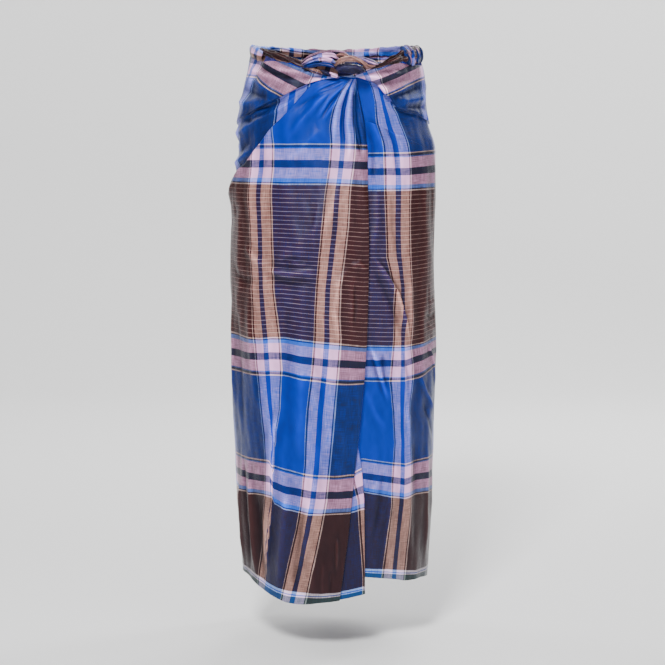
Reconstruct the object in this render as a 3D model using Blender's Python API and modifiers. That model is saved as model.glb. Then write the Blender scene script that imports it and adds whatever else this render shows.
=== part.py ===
"""A worn longyi: a checked cotton tube, folded at the front and tied there with a twisted knot.

The cloth keeps the hollow form it has round a general figure. Metres, +Z up. The origin is the centre of
the waist, X runs along the width and -Y is the front. Every stretch of cloth is one thin wall.
"""
import math

import bpy
from mathutils import Vector

for old in list(bpy.data.objects):
    bpy.data.objects.remove(old, do_unlink=True)

MM = 0.001
WALL = 1.5 * MM
SEAM_DEG = 0.18  # half of the opening at a side seam, in degrees round the figure
SEAM_Z = 0.8 * MM
LAYER = 3.0 * MM  # from the middle of one layer to the middle of the next one
FOLD_RADIUS = LAYER / 2
LEFT_SEAM = -118.0  # degrees round from the front, where the front stretches meet the back one
RIGHT_SEAM = 112.0
RETURN_DEG = 22.0  # how far a folded edge goes back under itself
UNDER_END = -6.0  # where the cloth under the front folds stops
BACK_TOP = -0.016  # just under the roll at the back
INNER_TOP = -0.085  # where the inner fold comes out from under the knot
EDGE_LIFT = 10 * MM  # how far the folded edges stand off the figure
HIP_RADIUS = 0.150  # round figure of about this radius, for widths given in mm
FRONT_RADIUS = 0.160
FADE = 0.15  # share of a fold's length over which it fades past its ends
FADE_IN = 0.35
CROWDING = 1.4  # over 1 sets the rows of a stretch closer together near its top
ROLL_START = 0.62  # turns from the outside of a roll to where its cloth begins
WAIST_ROLL_TURNS = 1.25
KNOT_TURNS = 0.9

# The figure inside the cloth, by height: half sections are ellipses between these four reaches.
FIGURE = (
    # z, left, right, front, back
    (0.012, 0.126, 0.133, 0.094, 0.108),
    (-0.015, 0.134, 0.137, 0.098, 0.111),
    (-0.040, 0.139, 0.145, 0.101, 0.114),
    (-0.070, 0.147, 0.149, 0.104, 0.118),
    (-0.100, 0.153, 0.150, 0.106, 0.123),
    (-0.130, 0.160, 0.156, 0.108, 0.127),
    (-0.165, 0.162, 0.167, 0.109, 0.131),
    (-0.205, 0.164, 0.169, 0.110, 0.133),
    (-0.240, 0.169, 0.169, 0.111, 0.134),
    (-0.300, 0.168, 0.168, 0.114, 0.134),
    (-0.400, 0.169, 0.169, 0.118, 0.132),
    (-0.500, 0.167, 0.170, 0.123, 0.131),
    (-0.600, 0.166, 0.170, 0.127, 0.132),
    (-0.700, 0.161, 0.169, 0.131, 0.134),
    (-0.800, 0.156, 0.166, 0.135, 0.137),
    (-0.870, 0.153, 0.162, 0.137, 0.139),
    (-0.930, 0.151, 0.160, 0.139, 0.140),
)

# Edges, by degrees round from the front.
CREASE_LEFT = ((-118, -0.136), (-90, -0.129), (-75, -0.122), (-51, -0.105), (-34.5, -0.090),
               (-24.5, -0.077), (-14.6, -0.066), (-5, -0.060), (12, -0.057))
CREASE_RIGHT = ((4, -0.057), (14, -0.058), (20, -0.063), (25.7, -0.069), (30.5, -0.083), (35.5, -0.090),
                (39.4, -0.103), (47, -0.110), (62, -0.115), (70, -0.121), (90, -0.129), (112, -0.136))
HIP_FOLD = ((-118, -0.264), (-100, -0.254), (-90, -0.241), (-73, -0.213), (-57, -0.189), (-46, -0.161),
            (-37.6, -0.140), (-30.5, -0.122), (-24.4, -0.103), (-18, -0.082), (-12, -0.054), (0, -0.049),
            (40, -0.047))
HEM_OVER = ((-118, -0.900), (-90, -0.903), (-62, -0.914), (-45, -0.920), (-20, -0.923), (-5, -0.919),
            (9, -0.913), (20, -0.907), (60, -0.900))
HEM_UNDER = ((-10, -0.878), (19, -0.880), (28, -0.882), (38, -0.885), (55, -0.897), (75, -0.908),
             (90, -0.911), (112, -0.910))
HEM_BACK = ((112, -0.910), (135, -0.914), (165, -0.918), (200, -0.914), (225, -0.905), (242, -0.900))
BAND_TOP_LEFT = ((-118, -0.0150), (-90, -0.0180), (-70, -0.0275), (-54, -0.0345), (-46, -0.0345),
                 (-42, -0.0340), (-30, -0.0400), (-21, -0.0475), (-15, -0.0400), (-9, -0.0365),
                 (3, -0.0365))
BAND_TOP_RIGHT = ((4, -0.0365), (14, -0.0400), (22, -0.0450), (28, -0.0460), (36, -0.0400), (44, -0.0385),
                  (56, -0.0395), (66, -0.0390), (80, -0.0370), (96, -0.0255), (112, -0.0160))

# Distance of each layer from the figure, in layers, by degrees.
LEVEL_OVER = ((-118, 0.5), (-108, 2.6), (-95, 3.0), (-62, 3.1), (-40, 4.5), (60, 4.5))
LEVEL_HIP = ((-118, 0.5), (-108, 0.5), (-95, 1.6), (-62, 2.0), (-40, 3.4), (60, 3.4))
LEVEL_BAND_LEFT = ((-118, 0.5), (-108, 1.7), (-95, 2.7), (-62, 3.3), (-40, 5.6), (60, 5.6))
LEVEL_BAND_RIGHT = ((0, 5.6), (24, 5.6), (44, 3.4), (66, 1.8), (102, 1.7), (112, 0.5))
# How far one stretch runs under the next one, by degrees.
LAP_LEFT = ((-118, -1.0), (-107, -1.0), (-98, 9.0), (60, 10.0))
LAP_RIGHT = ((0, 10.0), (92, 10.0), (101, -1.0), (112, -1.0))

# The two folded edges at the front, by height: distance to the right of the middle.
OVER_EDGE = ((-0.040, 0.022), (-0.059, 0.032), (-0.095, 0.042), (-0.127, 0.049), (-0.175, 0.054),
             (-0.337, 0.055), (-0.419, 0.054), (-0.492, 0.051), (-0.550, 0.047), (-0.632, 0.039),
             (-0.715, 0.030), (-0.765, 0.025), (-0.814, 0.020), (-0.925, 0.005))
INNER_EDGE = ((-0.070, 0.020), (-0.200, 0.040), (-0.500, 0.040), (-0.643, 0.038), (-0.701, 0.044),
              (-0.751, 0.048), (-0.925, 0.050))

# Broad soft folds that every layer follows: a ridge is positive, a trough negative.
FOLDS = (
    # degrees and z at one end, degrees and z at the other, height, half width, both in mm
    (4, -0.075, -20, -0.200, 3.0, 14),
    (8, -0.075, 0, -0.260, 3.0, 14),
    (0, -0.075, -48, -0.230, 2.5, 14),
    (-30, -0.360, -28, -0.620, 2.0, 26),
    (-58, -0.560, -60, -0.960, 3.5, 24),
    (-36, -0.640, -40, -0.960, -3.0, 22),
    (-10, -0.700, -12, -0.960, 3.0, 24),
    (48, -0.420, 56, -0.960, 3.0, 24),
    (78, -0.500, 80, -0.960, 2.5, 24),
    (36, -0.700, 36, -0.960, -2.5, 20),
    (140, -0.180, 128, -0.960, 4.0, 28),
    (166, -0.260, 160, -0.960, 4.0, 26),
    (196, -0.200, 202, -0.960, 4.0, 28),
    (224, -0.300, 230, -0.960, 3.5, 26),
    (182, -0.420, 181, -0.960, -3.5, 22),
)

WAIST_ROLLS = {
    # degrees, z of the middle, half height, half depth, level in layers
    "waist_roll_left": (
        (-117.1, -0.0045, 0.0090, 0.0065, 0.5), (-104, -0.0050, 0.0095, 0.0070, 1.2),
        (-90, -0.0060, 0.0100, 0.0075, 2.4), (-78, -0.0090, 0.0120, 0.0080, 2.8),
        (-66, -0.0135, 0.0140, 0.0085, 3.0), (-56.0, -0.0185, 0.0140, 0.0080, 3.6)),
    "waist_strand_left": (
        (-53.0, -0.0150, 0.0070, 0.0060, 4.2), (-47, -0.0185, 0.0085, 0.0065, 4.6),
        (-38, -0.0240, 0.0085, 0.0065, 5.0), (-30, -0.0295, 0.0080, 0.0060, 5.2),
        (-22, -0.0385, 0.0070, 0.0055, 5.2)),
    "waist_strand_right": (
        (29, -0.0385, 0.0045, 0.0045, 4.8), (34, -0.0320, 0.0055, 0.0055, 4.4),
        (40, -0.0270, 0.0085, 0.0065, 4.0), (46, -0.0235, 0.0115, 0.0075, 3.6),
        (52, -0.0225, 0.0125, 0.0080, 3.2)),
    "waist_bunch_right": (
        (53, -0.0200, 0.0150, 0.0080, 3.0), (62, -0.0180, 0.0180, 0.0095, 2.6),
        (74, -0.0165, 0.0185, 0.0090, 2.0), (88, -0.0130, 0.0160, 0.0080, 1.6),
        (100, -0.0075, 0.0115, 0.0070, 1.0), (110.9, -0.0045, 0.0090, 0.0065, 0.5)),
    "waist_roll_back": (
        (113.0, -0.0045, 0.0090, 0.0065, 0.5), (132, -0.0030, 0.0090, 0.0065, 0.5),
        (150, -0.0040, 0.0090, 0.0065, 0.5), (165, -0.0050, 0.0090, 0.0065, 0.5),
        (180, -0.0055, 0.0090, 0.0065, 0.5), (195, -0.0050, 0.0090, 0.0065, 0.5),
        (210, -0.0040, 0.0090, 0.0065, 0.5), (228, -0.0030, 0.0090, 0.0065, 0.5),
        (241.1, -0.0045, 0.0090, 0.0065, 0.5)),
}
KNOT = {
    # x, y, z of the middle, half height, half depth
    "knot_roll": (
        (-0.054, -0.1260, -0.0315, 0.0040, 0.0040), (-0.040, -0.1240, -0.0270, 0.0070, 0.0060),
        (-0.024, -0.1210, -0.0230, 0.0090, 0.0075), (-0.006, -0.1200, -0.0220, 0.0095, 0.0080),
        (0.010, -0.1190, -0.0235, 0.0090, 0.0075), (0.022, -0.1160, -0.0280, 0.0060, 0.0055)),
    "knot_strand": (
        (0.000, -0.1360, -0.0345, 0.0035, 0.0035), (0.012, -0.1350, -0.0275, 0.0050, 0.0045),
        (0.026, -0.1340, -0.0250, 0.0055, 0.0050), (0.040, -0.1320, -0.0285, 0.0050, 0.0050),
        (0.051, -0.1290, -0.0345, 0.0045, 0.0045), (0.061, -0.1250, -0.0400, 0.0040, 0.0040)),
    "knot_loop": (
        (0.004, -0.1300, -0.0460, 0.0035, 0.0040), (0.012, -0.1320, -0.0460, 0.0080, 0.0070),
        (0.026, -0.1330, -0.0455, 0.0095, 0.0085), (0.039, -0.1320, -0.0465, 0.0080, 0.0070),
        (0.048, -0.1300, -0.0475, 0.0035, 0.0040)),
    "knot_tuck_cream": (
        (-0.040, -0.1285, -0.0455, 0.0035, 0.0040), (-0.030, -0.1290, -0.0480, 0.0050, 0.0045),
        (-0.019, -0.1290, -0.0515, 0.0045, 0.0040)),
    "knot_tuck_indigo": (
        (-0.0165, -0.1290, -0.0480, 0.0045, 0.0040), (-0.011, -0.1290, -0.0520, 0.0050, 0.0045),
        (-0.0075, -0.1285, -0.0570, 0.0040, 0.0038)),
    "knot_tuck_pale": (
        (-0.0030, -0.1290, -0.0440, 0.0035, 0.0038), (0.0005, -0.1290, -0.0505, 0.0035, 0.0038),
        (0.0015, -0.1285, -0.0580, 0.0033, 0.0038)),
}

COLOURS = {
    # red, green, blue, linear
    "back_panel": (0.07, 0.05, 0.06),
    "over_panel": (0.02, 0.10, 0.40),
    "inner_pleat": (0.06, 0.07, 0.16),
    "under_panel": (0.04, 0.09, 0.28),
    "hip_wrap_left": (0.03, 0.09, 0.24),
    "waist_band_left": (0.50, 0.36, 0.42),
    "waist_band_right": (0.10, 0.14, 0.30),
    "waist_roll_left": (0.60, 0.45, 0.50),
    "waist_strand_left": (0.07, 0.05, 0.04),
    "waist_strand_right": (0.09, 0.06, 0.05),
    "waist_bunch_right": (0.30, 0.24, 0.30),
    "waist_roll_back": (0.07, 0.05, 0.04),
    "knot_roll": (0.45, 0.38, 0.50),
    "knot_strand": (0.55, 0.45, 0.38),
    "knot_loop": (0.05, 0.06, 0.16),
    "knot_tuck_cream": (0.60, 0.50, 0.42),
    "knot_tuck_indigo": (0.05, 0.06, 0.16),
    "knot_tuck_pale": (0.55, 0.50, 0.58),
}

collection = bpy.data.collections.new("worn_longyi")
bpy.context.scene.collection.children.link(collection)


def smooth(t):
    t = max(0.0, min(1.0, t))
    return t * t * (3 - 2 * t)


def along(table, at, column=1):
    """The table's column at this value of its first column, on straight lines between the rows."""
    rows = sorted(table)
    if at <= rows[0][0]:
        return rows[0][column]
    for low, high in zip(rows, rows[1:]):
        if at <= high[0]:
            return low[column] + (high[column] - low[column]) * (at - low[0]) / (high[0] - low[0])
    return rows[-1][column]


def curved(table, at, column):
    """The same on a smooth curve through the rows."""
    rows = sorted(table)
    at = max(rows[0][0], min(rows[-1][0], at))
    for i in range(len(rows) - 1):
        if at <= rows[i + 1][0]:
            break
    before = rows[max(i - 1, 0)]
    low = rows[i]
    high = rows[i + 1]
    after = rows[min(i + 2, len(rows) - 1)]
    span = high[0] - low[0]
    t = (at - low[0]) / span
    m0 = span * (high[column] - before[column]) / (high[0] - before[0])
    m1 = span * (after[column] - low[column]) / (after[0] - low[0])
    return ((2 * t ** 3 - 3 * t ** 2 + 1) * low[column] + (t ** 3 - 2 * t ** 2 + t) * m0
            + (-2 * t ** 3 + 3 * t ** 2) * high[column] + (t ** 3 - t ** 2) * m1)


def relief(deg, z):
    """How far the soft folds lift the cloth here."""
    total = 0.0
    for deg0, z0, deg1, z1, height, half_width in FOLDS:
        t = (z - z0) / (z1 - z0)
        if not -FADE < t < 1 + FADE:
            continue
        middle = deg0 + (deg1 - deg0) * t
        away = abs((deg - middle + 180) % 360 - 180)
        reach = math.degrees(half_width * MM / HIP_RADIUS)
        fade = smooth((t + FADE) / FADE_IN) * smooth((1 + FADE - t) / FADE)
        total += height * MM * fade * (1 - smooth(away / (2 * reach)))
    return total


def place(deg, z, out):
    """A point this far outside the figure, at this angle round it and this height."""
    left = curved(FIGURE, z, 1)
    right = curved(FIGURE, z, 2)
    sine = math.sin(math.radians(deg))
    cosine = math.cos(math.radians(deg))
    wide = (left + right) / 2
    deep = curved(FIGURE, z, 3) if cosine >= 0 else curved(FIGURE, z, 4)
    normal = Vector((sine / wide, -cosine / deep, 0)).normalized()
    return Vector(((right - left) / 2 + wide * sine, -deep * cosine, z)) + normal * (out + relief(deg, z))


def degrees_of(x, z):
    """The angle of a folded edge this far to the right of the middle."""
    left = curved(FIGURE, z, 1)
    right = curved(FIGURE, z, 2)
    return math.degrees(math.asin((x - (right - left) / 2) / ((left + right) / 2 + EDGE_LIFT)))


def cloth(name, grid):
    """A wall of cloth over a grid of points, a row after another."""
    columns = len(grid[0])
    points = [point for row in grid for point in row]
    faces = []
    for i in range(len(grid) - 1):
        for j in range(columns - 1):
            a = i * columns + j
            faces.append((a, a + 1, a + columns + 1, a + columns))
    mesh = bpy.data.meshes.new(name)
    mesh.from_pydata(points, [], faces)
    mesh.update()
    obj = bpy.data.objects.new(name, mesh)
    collection.objects.link(obj)
    wall = obj.modifiers.new("Wall", "SOLIDIFY")
    wall.thickness = WALL
    wall.offset = 0
    wall.use_even_offset = False
    material = bpy.data.materials.new(name)
    material.use_nodes = True
    shader = material.node_tree.nodes["Principled BSDF"]
    shader.inputs["Base Color"].default_value = (*COLOURS[name], 1)
    shader.inputs["Roughness"].default_value = 0.6
    shader.inputs["Metallic"].default_value = 0.0
    mesh.materials.append(material)
    return obj


def steps(first, last, count):
    """Evenly spaced values, with both ends."""
    return [first + (last - first) * i / count for i in range(count + 1)]


def closer_at_the_top(rows):
    """Shares of the height, closer together near the top, where the edges bend most."""
    return [(i / rows) ** CROWDING for i in range(rows + 1)]


def stretch(name, first, last, columns, rows, top, bottom, level):
    """A stretch of cloth between two angles, from its top edge to its bottom edge."""
    grid = []
    for row in closer_at_the_top(rows):
        line = []
        for deg in steps(first, last, columns):
            z = top(deg) + (bottom(deg) - top(deg)) * row
            line.append(place(deg, z, level(deg)))
        grid.append(line)
    return cloth(name, grid)


def folded(name, first, edge, columns, rows, top, bottom, level, start=None):
    """A stretch that ends in a folded edge and runs back under itself."""
    grid = []
    for row in closer_at_the_top(rows):
        line = []
        z_guess = top(0) + (bottom(0) - top(0)) * row
        last = edge(z_guess)
        begin = first if start is None else last - start
        for deg in steps(begin, last, columns):
            z = top(deg) + (bottom(deg) - top(deg)) * row
            line.append(place(deg, z, level(deg)))
        z = top(last) + (bottom(last) - top(last)) * row
        for turn in (35, 90, 145):
            over = math.degrees(FOLD_RADIUS * math.sin(math.radians(turn)) / FRONT_RADIUS)
            down = FOLD_RADIUS * (1 - math.cos(math.radians(turn)))
            line.append(place(last + over, z, level(last) - down))
        for deg in steps(last, last - RETURN_DEG, 4):
            z = top(deg) + (bottom(deg) - top(deg)) * row
            line.append(place(deg, z, level(deg) - LAYER))
        grid.append(line)
    return cloth(name, grid)


def rolled(name, rows, turns, points):
    """Cloth rolled up along a path, with its free edge inside: rows of middle, half height and half depth."""
    middles = [row[0] for row in rows]
    grid = []
    for i, (middle, high, deep) in enumerate(rows):
        ahead = middles[min(i + 1, len(rows) - 1)] - middles[max(i - 1, 0)]
        ahead.normalize()
        outward = ahead.cross(Vector((0, 0, 1))).normalized()
        upward = outward.cross(ahead).normalized()
        line = []
        for turn in steps(0, turns, points):
            inside = LAYER * turn if turns > 1 else 0.0
            angle = 2 * math.pi * (turn + ROLL_START)
            line.append(middle + outward * (deep - WALL / 2 - inside) * math.cos(angle)
                        + upward * (high - WALL / 2 - inside) * math.sin(angle))
        grid.append(line)
    return cloth(name, grid)


def at_level(table):
    """The distance from the figure by angle, from a table in layers."""
    return lambda deg: LAYER * along(table, deg)


def lap(table, deg):
    """How far a stretch runs under its neighbour here."""
    return MM * along(table, deg)


# The skirt.
stretch(
    "back_panel", RIGHT_SEAM + SEAM_DEG, 360 + LEFT_SEAM - SEAM_DEG, 24, 15,
    lambda deg: BACK_TOP, lambda deg: along(HEM_BACK, deg), lambda deg: 0.5 * LAYER)
folded(
    "over_panel", LEFT_SEAM + SEAM_DEG, lambda z: degrees_of(along(OVER_EDGE, z), z), 24, 17,
    lambda deg: along(HIP_FOLD, deg), lambda deg: along(HEM_OVER, deg), at_level(LEVEL_OVER))
folded(
    "inner_pleat", None, lambda z: degrees_of(along(INNER_EDGE, z), z), 4, 14,
    lambda deg: INNER_TOP, lambda deg: along(HEM_OVER, deg), lambda deg: 2.5 * LAYER, start=RETURN_DEG)
stretch(
    "under_panel", UNDER_END, RIGHT_SEAM - SEAM_DEG, 18, 16,
    lambda deg: along(CREASE_RIGHT, deg) + lap(LAP_RIGHT, deg) - SEAM_Z, lambda deg: along(HEM_UNDER, deg),
    lambda deg: 0.5 * LAYER)
stretch(
    "hip_wrap_left", LEFT_SEAM + SEAM_DEG, -17, 16, 4,
    lambda deg: along(CREASE_LEFT, deg) + lap(LAP_LEFT, deg) - SEAM_Z,
    lambda deg: along(HIP_FOLD, deg) - lap(LAP_LEFT, deg) + SEAM_Z, at_level(LEVEL_HIP))

# The gathered waist.
stretch(
    "waist_band_left", LEFT_SEAM + SEAM_DEG, 2, 20, 3,
    lambda deg: along(BAND_TOP_LEFT, deg), lambda deg: along(CREASE_LEFT, deg), at_level(LEVEL_BAND_LEFT))
stretch(
    "waist_band_right", 4, RIGHT_SEAM - SEAM_DEG, 20, 3,
    lambda deg: along(BAND_TOP_RIGHT, deg), lambda deg: along(CREASE_RIGHT, deg), at_level(LEVEL_BAND_RIGHT))
for name, table in WAIST_ROLLS.items():
    rows = [(place(deg, z, level * LAYER), high, deep) for deg, z, high, deep, level in table]
    rolled(name, rows, WAIST_ROLL_TURNS, 13)

# The knot.
for name, table in KNOT.items():
    rows = [(Vector((x, y, z)), high, deep) for x, y, z, high, deep in table]
    rolled(name, rows, KNOT_TURNS, 9)
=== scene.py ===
"""Looks of a worn longyi: the checked cloth, its folds and its knot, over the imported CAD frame.

Metres, +Z up. The front faces -Y. Angles run round the tube in degrees: 0 is the front, 90 the right side,
180 the back and 270 the left side, so the outer cloth goes from its hidden start under the front folds
(-6) all the way round to its folded front edge (378 at the thigh).
"""
import math

import bpy
import numpy as np
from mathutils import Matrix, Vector, noise


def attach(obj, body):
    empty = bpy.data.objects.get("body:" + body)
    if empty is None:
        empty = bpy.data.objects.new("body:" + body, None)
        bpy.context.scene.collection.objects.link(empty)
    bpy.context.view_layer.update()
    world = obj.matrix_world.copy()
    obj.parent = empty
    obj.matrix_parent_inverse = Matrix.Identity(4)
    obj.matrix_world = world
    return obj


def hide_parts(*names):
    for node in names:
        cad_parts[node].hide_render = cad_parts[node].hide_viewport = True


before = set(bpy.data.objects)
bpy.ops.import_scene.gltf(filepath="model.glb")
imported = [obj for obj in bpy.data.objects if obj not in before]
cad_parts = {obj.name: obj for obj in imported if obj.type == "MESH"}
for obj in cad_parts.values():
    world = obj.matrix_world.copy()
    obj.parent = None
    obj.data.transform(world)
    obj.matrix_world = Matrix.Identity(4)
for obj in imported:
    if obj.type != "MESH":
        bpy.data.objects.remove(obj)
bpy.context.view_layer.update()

MM = 0.001
LAYER = 3.0 * MM  # from one layer of cloth to the next
STAND_OFF = 10 * MM  # of the front cloth from the figure, on average

# ---- the figure and the edges, as in the CAD
def by_degrees(*rows):
    """A line round the tube as rows of degrees and metres, from rows of degrees and mm."""
    return np.array(rows) * (1, MM)


FIGURE = MM * np.array((
    # height, then how far it reaches to the left, right, front and back
    (12, 126, 133, 94, 108), (-15, 134, 137, 98, 111), (-40, 139, 145, 101, 114),
    (-70, 147, 149, 104, 118), (-100, 153, 150, 106, 123), (-130, 160, 156, 108, 127),
    (-165, 162, 167, 109, 131), (-205, 164, 169, 110, 133), (-240, 169, 169, 111, 134),
    (-300, 168, 168, 114, 134), (-400, 169, 169, 118, 132), (-500, 167, 170, 123, 131),
    (-600, 166, 170, 127, 132), (-700, 161, 169, 131, 134), (-800, 156, 166, 135, 137),
    (-870, 153, 162, 137, 139), (-930, 151, 160, 139, 140)))
CREASE = by_degrees(  # the lower edge of the gathered waist
    (-6, -57), (14, -58), (20, -63), (25.7, -69), (30.5, -83), (35.5, -90), (39.4, -103), (47, -110),
    (62, -115), (70, -121), (90, -129), (112, -136), (180, -142), (242, -136), (270, -129), (285, -122),
    (309, -105), (325.5, -90), (335.5, -77), (345.4, -66), (355, -60), (380, -58))
HIP_FOLD = by_degrees(  # the folded upper edge of the front cloth, which fades away round the back
    (-6, -100), (40, -150), (90, -200), (112, -236), (180, -262), (242, -264), (260, -254), (270, -241),
    (287, -213), (303, -189), (314, -161), (322.4, -140), (329.5, -122), (335.6, -103), (342, -82),
    (348, -65.5), (355, -62.5), (380, -60.5))
HEM = by_degrees(
    (-10, -880), (15, -881), (28, -886), (38, -891), (45, -896), (61, -899), (77, -904), (90, -910),
    (112, -910), (135, -914), (165, -918), (200, -914), (225, -905), (242, -900), (270, -898),
    (282, -895), (297, -899), (307, -908), (314, -914), (321, -920), (327, -924), (336, -926),
    (342, -925), (350, -921), (358, -918), (366, -914), (375, -909), (380, -906))
TOP = by_degrees(  # just under the waist roll
    (-6, -40), (14, -40), (22, -43), (28, -43), (36, -35), (44, -33), (56, -34), (66, -34), (80, -32),
    (96, -21), (112, -12), (180, -11), (242, -12), (270, -14), (290, -23), (306, -30), (318, -30),
    (330, -36), (339, -43), (345, -40), (351, -36), (380, -36))

# How far each cloth stands off the figure, in layers, by degrees.
LEVEL_SKIRT = np.array((
    (-10, 0.5), (200, 0.5), (242, 0.6), (252, 2.2), (265, 3), (298, 3.1), (320, 4.5), (400, 4.5)))
LEVEL_HIP = np.array((
    (-10, 0.5), (242, 0.5), (256, 0.8), (265, 1.2), (298, 1.4), (320, 2.8), (341, 3.2), (346, 4.1),
    (400, 4.4)))
LEVEL_BAND = np.array((
    (-10, 5.6), (24, 5.6), (44, 3.4), (66, 1.8), (102, 1.3), (125, 0.5), (235, 0.5), (265, 2.5),
    (298, 3.3), (320, 5.4), (400, 5.6)))

OVER_EDGE = MM * np.array((  # the folded front edge: height, then how far it lies right of the middle
    (-40, 26), (-59, 33), (-95, 42), (-127, 49), (-175, 54), (-337, 55), (-419, 54), (-492, 51),
    (-550, 47), (-632, 39), (-715, 30), (-765, 25), (-814, 20), (-925, 5)))
INNER_EDGE = MM * np.array((  # and the edge of the pleat inside it
    (-70, 20), (-200, 40), (-500, 40), (-643, 38), (-701, 44), (-751, 48), (-925, 50)))

# ---- the cloth's pattern, in millimetres
PLAIN = 88  # the width of a blue or brown band, which runs from waist to hem
FINE = 52  # and of the finely striped band that follows each
REPEAT = 2 * (PLAIN + FINE)
ROUND = 3 * REPEAT  # how far the pattern runs from the right front, round the back, to the left front
RIGHT_END = 95  # degrees, where the right front's pattern ends
LEFT_START = 242  # and where the left front's starts; the back's runs evenly between them
LOOM_WIDTH = 1156
GATHERS_FROM = 780  # the last mark below the waist, up from the hem
WEFT_MARKS = np.array((0, 19, 157, 194, 230, 376, 412.5, 449, 707, 743.5, GATHERS_FROM))
WEFT_DEPTHS = np.array((  # degrees, then how far down each mark above lies
    (-10, 880, 867, 740, 712, 683, 556, 525, 495, 242, 210, 179),
    (15, 881, 868, 740, 712, 683, 556, 525, 495, 242, 210, 179),
    (32, 888, 873, 751, 721, 692, 558, 527, 498, 242, 210, 178),
    (43, 895, 879, 757, 728, 697, 559, 529, 499, 242, 210, 178),
    (55, 898, 884, 754, 723, 694, 557, 522, 497, 241, 208, 176),
    (78, 904, 888, 757, 725, 692, 543, 515, 490, 240, 205, 173),
    (112, 910, 894, 757, 724, 690, 545, 516, 488, 238, 204, 170),
    (165, 918, 902, 765, 730, 694, 552, 520, 490, 238, 203, 168),
    (225, 905, 889, 757, 722, 688, 548, 516, 484, 234, 200, 166),
    (282, 895, 883, 754, 722, 690, 548, 517, 482, 230, 197, 165),
    (302, 903, 888, 753, 722, 690, 549, 518, 485, 231, 197, 164),
    (314, 914, 898, 751, 721, 689, 549, 517, 486, 231, 197, 164),
    (321.2, 920, 903, 752, 720, 688, 548, 515, 484, 231, 197, 164),
    (322.6, 921, 904, 762, 730, 695, 547, 514, 483, 231, 197, 164),
    (331, 925, 907, 769, 736, 701, 547, 514, 482, 232, 197, 164),
    (341, 925, 907, 775, 739, 706, 552, 519, 485, 232, 197, 164),
    (350, 921, 907, 776, 742, 709, 555, 522, 488, 232, 197, 164),
    (358, 918, 905, 774, 741, 709, 559, 524, 490, 232, 198, 164),
    (366, 914, 902, 773, 740, 707, 560, 525, 492, 233, 199, 165),
    (375, 909, 897, 772, 740, 706, 559, 527, 495, 235, 200, 166)))
WARP_LEFT_MARKS = np.array((-FINE, -31, 0, PLAIN, PLAIN + FINE))
WARP_LEFT = np.array((  # height in mm, then the degrees of each mark above, from 360
    (-40, -54, -46, -30, 11, 12.8), (-61, -54, -46, -31, 8.3, 12.6), (-79, -54, -46, -33, 3.5, 12.2),
    (-110, -54.5, -46, -36, -0.8, 12.2), (-139, -54.5, -46, -36.5, -3, 11.8),
    (-166, -54.5, -46.5, -35.8, -3.6, 10.4), (-231, -54.3, -46.7, -35.4, -5, 8.6),
    (-299, -53.9, -46.3, -35, -7.1, 7.4), (-349, -52.8, -45.3, -34.2, -8.8, 5.6),
    (-399, -51.9, -44.7, -34, -10.4, 3.4), (-449, -51, -43.3, -32, -11.4, 2.6),
    (-484, -50, -42.2, -30.7, -12, 3.1), (-536, -48.1, -40.7, -29.8, -13.4, 1.7),
    (-601, -45.2, -38, -30.8, -16.1, -0.2), (-651, -43.5, -35.3, -34.4, -17.4, -1.9),
    (-692, -43.2, -37.1, -36.3, -18.3, -3.6), (-753, -45.5, -39.7, -38.9, -21, -5.9),
    (-803, -48.6, -41.8, -41, -24.6, -9.1), (-855, -51.7, -45.2, -44.4, -29.2, -12.7),
    (-888, -54, -47.6, -46.8, -32.1, -15.5), (-930, -57, -50.4, -49.6, -36, -19)))
WARP_RIGHT_MARKS = np.array((PLAIN, PLAIN + FINE))
WARP_RIGHT = np.array((  # height in mm, then degrees
    (-50, 17, 26), (-60, 20, 30), (-77, 23.6, 35.2), (-98, 25.7, 38.5), (-117, 25.4, 42.4),
    (-139, 25.5, 44.5), (-191, 27.1, 47.2), (-232, 28, 47.9), (-300, 29.3, 47.8), (-351, 29.7, 48.3),
    (-402, 34.3, 49.4), (-453, 35.1, 49.5), (-499, 33.6, 48.4), (-530, 32.3, 50.2), (-558, 31.1, 50.3),
    (-608, 33.6, 46.8), (-660, 34.3, 47.5), (-702, 33.1, 49.8), (-765, 32, 49.7), (-816, 29.6, 48.5),
    (-868, 27.8, 47.3), (-900, 26.5, 46.4)))
BAND_MARKS = np.array((926, 963, 999))
BAND_HEIGHTS = np.array((  # degrees, then the height in mm of each mark above, in the gathered waist
    (-10, -125, -94, -66), (8, -115, -82, -55), (20, -101, -70, -43), (34, -86, -57, -30),
    (48, -72, -45, -18), (65, -61, -33, -7), (80, -55, -26, 0), (112, -45, -12, 16), (180, -25, 8, 40),
    (242, -42, -10, 18), (270, -50, -18, 8), (302, -56, -29, -8), (320, -80, -48, -23),
    (335, -99, -65, -36), (346, -115, -78, -47), (360, -125, -85, -52), (380, -130, -92, -60)))


def curved(table, at, column=1):
    """The table's column on a smooth curve through its rows, for an array of places."""
    rows = table[np.argsort(table[:, 0])]
    x = rows[:, 0]
    y = rows[:, column]
    slope = np.gradient(y, x)
    at = np.clip(at, x[0], x[-1])
    i = np.clip(np.searchsorted(x, at) - 1, 0, len(x) - 2)
    span = x[i + 1] - x[i]
    t = (at - x[i]) / span
    return ((2 * t ** 3 - 3 * t ** 2 + 1) * y[i] + (t ** 3 - 2 * t ** 2 + t) * span * slope[i]
            + (3 * t ** 2 - 2 * t ** 3) * y[i + 1] + (t ** 3 - t ** 2) * span * slope[i + 1])


def straight(table, at, column=1):
    """The table's column on straight lines between its rows."""
    rows = table[np.argsort(table[:, 0])]
    return np.interp(at, rows[:, 0], rows[:, column])


def smooth(t):
    """A rise from 0 to 1 with level ends."""
    t = np.clip(t, 0, 1)
    return t * t * (3 - 2 * t)


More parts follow.
